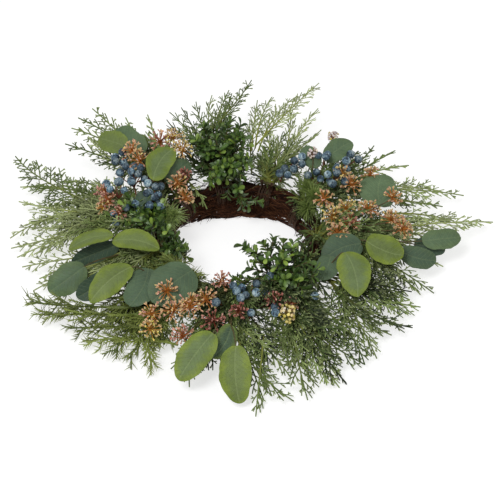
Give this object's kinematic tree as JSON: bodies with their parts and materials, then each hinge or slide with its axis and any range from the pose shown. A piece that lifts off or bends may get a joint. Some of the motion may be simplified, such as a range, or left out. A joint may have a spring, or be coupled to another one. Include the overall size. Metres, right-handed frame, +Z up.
{
  "type": "artificial foliage wreath",
  "caption": "Round table or door wreath: twisted vine ring with wired picks of cedar, juniper, eucalyptus leaves, blue berries and seed umbels that bend at the ring.",
  "frame": {"origin": "on the table plane, under the middle of the whole wreath's bounding box", "axes": "+Z up out of the table, +X to the right of the front view and along the longest spread, +Y to the back"},
  "size_m": [0.5324, 0.4874, 0.0939],
  "materials": {
    "vine": "matte dark red-brown twig bark with fine streaks along it and loose fibres",
    "steel": "plain drawn wire",
    "tie_wire": "brown lacquered binding wire",
    "stem": "matte olive-brown plastic over wire",
    "cedar": "matte grey-green moulded soft plastic, yellower towards the stems",
    "juniper": "matte dark to yellow-green moulded needles",
    "eucalyptus": "matte blue-green printed leaf cloth, yellow-green rim, pale midrib",
    "berries": "dusty frosted blue with navy shading",
    "seeds": "orange stalks with pink, cream and yellow tips",
    "boxwood": "semi-gloss bright to dark green small leaves",
    "pine": "bright green fine soft needles"
  },
  "bodies": {
    "root": {"core_hoop": "steel", "vine_strand_1": "vine", "vine_strand_2": "vine", "vine_strand_3": "vine", "wire_tie_01": "tie_wire", "wire_tie_02": "tie_wire", "wire_tie_03": "tie_wire", "wire_tie_04": "tie_wire", "wire_tie_05": "tie_wire", "wire_tie_06": "tie_wire", "wire_tie_07": "tie_wire", "wire_tie_08": "tie_wire", "wire_tie_09": "tie_wire", "wire_tie_10": "tie_wire", "wire_tie_11": "tie_wire"},
    "pick_01": {"pick_stem_01": "stem", "cedar_fronds_01": "cedar", "eucalyptus_leaves_01": "eucalyptus", "seed_umbels_01": "seeds"},
    "pick_02": {"pick_stem_02": "stem", "cedar_fronds_02": "cedar", "eucalyptus_leaves_02": "eucalyptus", "berry_cluster_02": "berries", "seed_umbels_02": "seeds", "pine_tuft_02": "pine"},
    "pick_03": {"pick_stem_03": "stem", "cedar_fronds_03": "cedar", "berry_cluster_03": "berries"},
    "pick_04": {"pick_stem_04": "stem", "cedar_fronds_04": "cedar", "boxwood_sprig_04": "boxwood"},
    "pick_05": {"pick_stem_05": "stem", "cedar_fronds_05": "cedar", "eucalyptus_leaves_05": "eucalyptus", "seed_umbels_05": "seeds"},
    "pick_06": {"pick_stem_06": "stem", "cedar_fronds_06": "cedar", "berry_cluster_06": "berries", "seed_umbels_06": "seeds"},
    "pick_07": {"pick_stem_07": "stem", "cedar_fronds_07": "cedar", "eucalyptus_leaves_07": "eucalyptus", "boxwood_sprig_07": "boxwood"},
    "pick_08": {"pick_stem_08": "stem", "juniper_fronds_08": "juniper", "eucalyptus_leaves_08": "eucalyptus", "seed_umbels_08": "seeds"},
    "pick_09": {"pick_stem_09": "stem", "cedar_fronds_09": "cedar", "eucalyptus_leaves_09": "eucalyptus", "berry_cluster_09": "berries", "seed_umbels_09": "seeds"},
    "pick_10": {"pick_stem_10": "stem", "cedar_fronds_10": "cedar", "berry_cluster_10": "berries", "boxwood_sprig_10": "boxwood"},
    "pick_11": {"pick_stem_11": "stem", "cedar_fronds_11": "cedar", "eucalyptus_leaves_11": "eucalyptus"}
  },
  "joints": [
    {"name": "pick_01_bend", "type": "hinge", "parent": "root", "child": "pick_01", "pos_m": [0.07567, 0.00942, 0.0361], "axis": [-0.0872, -0.9962, 0], "range_deg": [-3, 20]},
    {"name": "pick_02_bend", "type": "hinge", "parent": "root", "child": "pick_02", "pos_m": [0.06357, 0.06181, 0.0361], "axis": [0.515, -0.8572, 0], "range_deg": [-3, 20]},
    {"name": "pick_03_bend", "type": "hinge", "parent": "root", "child": "pick_03", "pos_m": [0.02299, 0.09708, 0.0361], "axis": [0.9205, -0.3907, 0], "range_deg": [-3, 20]},
    {"name": "pick_04_bend", "type": "hinge", "parent": "root", "child": "pick_04", "pos_m": [-0.02909, 0.1021, 0.0361], "axis": [0.9781, 0.2079, 0], "range_deg": [-3, 20]},
    {"name": "pick_05_bend", "type": "hinge", "parent": "root", "child": "pick_05", "pos_m": [-0.07305, 0.07798, 0.0361], "axis": [0.7009, 0.7133, 0], "range_deg": [-3, 20]},
    {"name": "pick_06_bend", "type": "hinge", "parent": "root", "child": "pick_06", "pos_m": [-0.09594, 0.03583, 0.0361], "axis": [0.2164, 0.9763, 0], "range_deg": [-3, 20]},
    {"name": "pick_07_bend", "type": "hinge", "parent": "root", "child": "pick_07", "pos_m": [-0.09374, -0.00988, 0.0361], "axis": [-0.309, 0.9511, 0], "range_deg": [-3, 20]},
    {"name": "pick_08_bend", "type": "hinge", "parent": "root", "child": "pick_08", "pos_m": [-0.06808, -0.04866, 0.0361], "axis": [-0.7547, 0.6561, 0], "range_deg": [-3, 20]},
    {"name": "pick_09_bend", "type": "hinge", "parent": "root", "child": "pick_09", "pos_m": [-0.01707, -0.06979, 0.0361], "axis": [-0.9976, 0.0698, 0], "range_deg": [-3, 20]},
    {"name": "pick_10_bend", "type": "hinge", "parent": "root", "child": "pick_10", "pos_m": [0.03118, -0.05909, 0.0361], "axis": [-0.8746, -0.4848, 0], "range_deg": [-3, 20]},
    {"name": "pick_11_bend", "type": "hinge", "parent": "root", "child": "pick_11", "pos_m": [0.06027, -0.0329, 0.0361], "axis": [-0.5736, -0.8192, 0], "range_deg": [-3, 20]}
  ]
}
